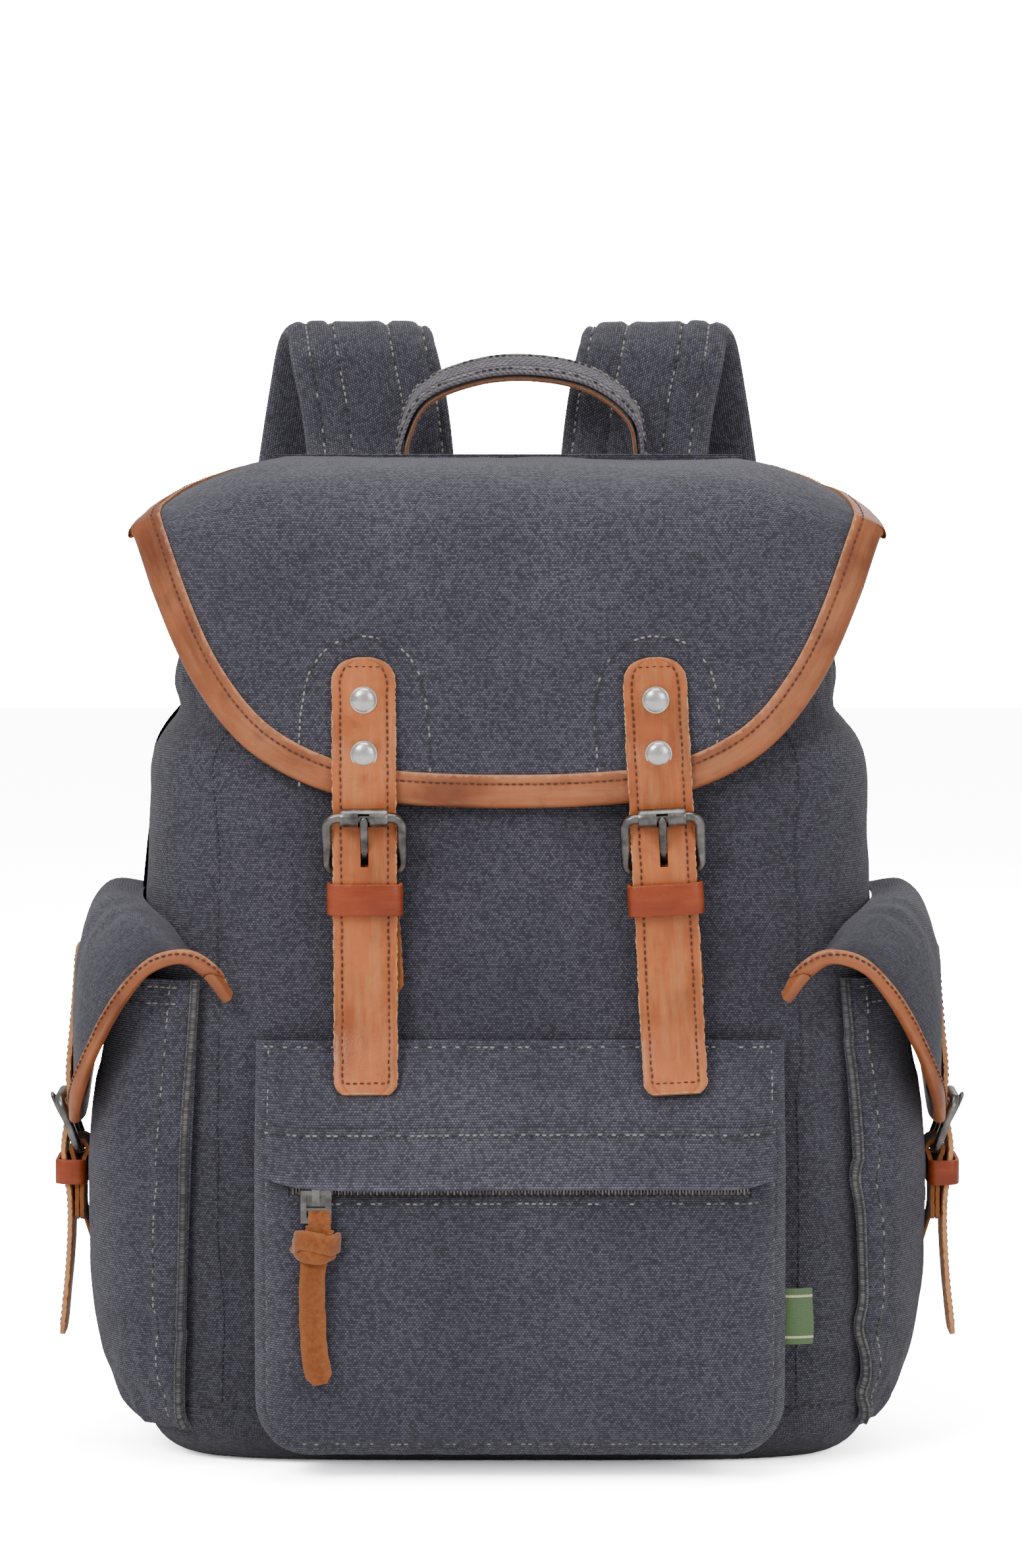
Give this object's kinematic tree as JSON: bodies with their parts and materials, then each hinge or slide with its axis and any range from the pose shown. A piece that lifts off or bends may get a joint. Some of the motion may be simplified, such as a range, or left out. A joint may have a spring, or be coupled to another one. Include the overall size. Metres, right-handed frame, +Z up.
{
  "type": "travel backpack",
  "caption": "Canvas travel backpack with a leather-bound top flap, buckled front straps, a zipped front pocket, flapped side pockets, a top handle and padded shoulder straps.",
  "frame": {"origin": "centre of the flat base, on the surface the bag stands on", "axes": "+Z up, the front with the pocket and straps faces -Y, +X is to the right as seen from the front"},
  "size_m": [0.3688, 0.2523, 0.4528],
  "materials": {
    "canvas": "charcoal plain-weave cotton canvas, slightly faded on its edges",
    "lining_cloth": "plain cotton lining",
    "leather": "tan pull-up leather with raw edges",
    "suede": "dark brown flesh side and folded leather",
    "webbing": "grey basket-weave webbing",
    "gunmetal": "antique gunmetal",
    "nickel": "satin nickel",
    "label": "green woven tape with two cream lines"
  },
  "bodies": {
    "bag": {"back_panel": "canvas", "front_panel": "canvas", "side_panel_left": "canvas", "side_panel_right": "canvas", "base_panel": "canvas", "mouth_hem": "canvas", "front_pocket_face": "canvas", "front_pocket_gusset": "canvas", "side_pocket_left": "canvas", "side_pocket_right": "canvas", "lining": "lining_cloth", "drawcord_eyelet": "gunmetal", "zip_chain": "webbing", "side_label": "label", "side_snap_left": "nickel", "front_snap_left": "nickel", "side_snap_right": "nickel", "front_snap_right": "nickel"},
    "flap": {"flap_panel": "canvas", "flap_binding": "leather", "front_strap_left": "leather", "front_rivet_upper_left": "nickel", "front_rivet_lower_left": "nickel", "front_buckle_left": "gunmetal", "front_buckle_sleeve_left": "gunmetal", "front_keeper_left": "leather", "front_buckle_tab_left": "suede", "front_strap_right": "leather", "front_rivet_upper_right": "nickel", "front_rivet_lower_right": "nickel", "front_buckle_right": "gunmetal", "front_buckle_sleeve_right": "gunmetal", "front_keeper_right": "leather", "front_buckle_tab_right": "suede"},
    "storm_flap": {"pocket_storm_flap": "canvas"},
    "zip_slider": {"zip_slider": "gunmetal"},
    "zip_pull": {"zip_puller": "gunmetal", "zip_thong": "suede"},
    "handle": {"handle_webbing": "webbing", "handle_leather": "suede"},
    "front_prong_left": {"front_buckle_prong_left": "gunmetal"},
    "side_flap_left": {"side_flap_left": "canvas", "side_flap_binding_left": "leather", "side_strap_left": "leather", "side_buckle_left": "gunmetal", "side_buckle_tab_left": "suede"},
    "side_prong_left": {"side_buckle_prong_left": "gunmetal"},
    "shoulder_strap_left": {"shoulder_pad_left": "canvas", "shoulder_webbing_left": "webbing"},
    "adjuster_left": {"strap_adjuster_left": "gunmetal"},
    "front_prong_right": {"front_buckle_prong_right": "gunmetal"},
    "side_flap_right": {"side_flap_right": "canvas", "side_flap_binding_right": "leather", "side_strap_right": "leather", "side_buckle_right": "gunmetal", "side_buckle_tab_right": "suede"},
    "side_prong_right": {"side_buckle_prong_right": "gunmetal"},
    "shoulder_strap_right": {"shoulder_pad_right": "canvas", "shoulder_webbing_right": "webbing"},
    "adjuster_right": {"strap_adjuster_right": "gunmetal"}
  },
  "joints": [
    {"name": "flap_hinge", "type": "hinge", "parent": "bag", "child": "flap", "pos_m": [0, 0.06, 0.3975], "axis": [-1, 0, 0], "range_deg": [0, 90]},
    {"name": "front_prong_left", "type": "hinge", "parent": "flap", "child": "front_prong_left", "pos_m": [-0.05556, -0.0683, 0.2392], "axis": [1, 0, 0.0052], "range_deg": [0, 18]},
    {"name": "front_prong_right", "type": "hinge", "parent": "flap", "child": "front_prong_right", "pos_m": [0.06139, -0.0683, 0.23931], "axis": [0.9986, 0, 0.0523], "range_deg": [0, 18]},
    {"name": "side_flap_hinge_left", "type": "hinge", "parent": "bag", "child": "side_flap_left", "pos_m": [-0.1499, 0, 0.225], "axis": [0, 1, 0], "range_deg": [0, 85]},
    {"name": "side_prong_left", "type": "hinge", "parent": "side_flap_left", "child": "side_prong_left", "pos_m": [-0.172, -0.003, 0.1218], "axis": [0, -1, 0], "range_deg": [0, 18]},
    {"name": "side_flap_hinge_right", "type": "hinge", "parent": "bag", "child": "side_flap_right", "pos_m": [0.1499, 0, 0.225], "axis": [0, -1, 0], "range_deg": [0, 85]},
    {"name": "side_prong_right", "type": "hinge", "parent": "side_flap_right", "child": "side_prong_right", "pos_m": [0.172, -0.003, 0.1218], "axis": [0, 1, 0], "range_deg": [0, 18]},
    {"name": "zip_slide", "type": "slide", "parent": "bag", "child": "zip_slider", "axis": [1, 0, 0], "range_m": [0, 0.163]},
    {"name": "zip_pull_swing", "type": "hinge", "parent": "zip_slider", "child": "zip_pull", "pos_m": [-0.074, -0.1007, 0.1175], "axis": [-1, 0, 0], "range_deg": [0, 45]},
    {"name": "storm_flap_lift", "type": "hinge", "parent": "bag", "child": "storm_flap", "pos_m": [0.005, -0.0915, 0.1385], "axis": [-1, 0, 0], "range_deg": [0, 50]},
    {"name": "handle_swing", "type": "hinge", "parent": "bag", "child": "handle", "pos_m": [0.006, 0.0738, 0.393], "axis": [-1, 0, 0], "range_deg": [-35, 4]},
    {"name": "shoulder_swing_left", "type": "hinge", "parent": "bag", "child": "shoulder_strap_left", "pos_m": [-0.05, 0.0735, 0.345], "axis": [0.2076, 0.0192, 0.978], "range_deg": [-6, 8]},
    {"name": "adjuster_slide_left", "type": "slide", "parent": "shoulder_strap_left", "child": "adjuster_left", "axis": [-0.135, -0.2652, -0.9547], "range_m": [-0.025, 0.042]},
    {"name": "shoulder_swing_right", "type": "hinge", "parent": "bag", "child": "shoulder_strap_right", "pos_m": [0.05, 0.0735, 0.345], "axis": [0.2076, -0.0192, -0.978], "range_deg": [-6, 8]},
    {"name": "adjuster_slide_right", "type": "slide", "parent": "shoulder_strap_right", "child": "adjuster_right", "axis": [0.135, -0.2652, -0.9547], "range_m": [-0.025, 0.042]}
  ]
}
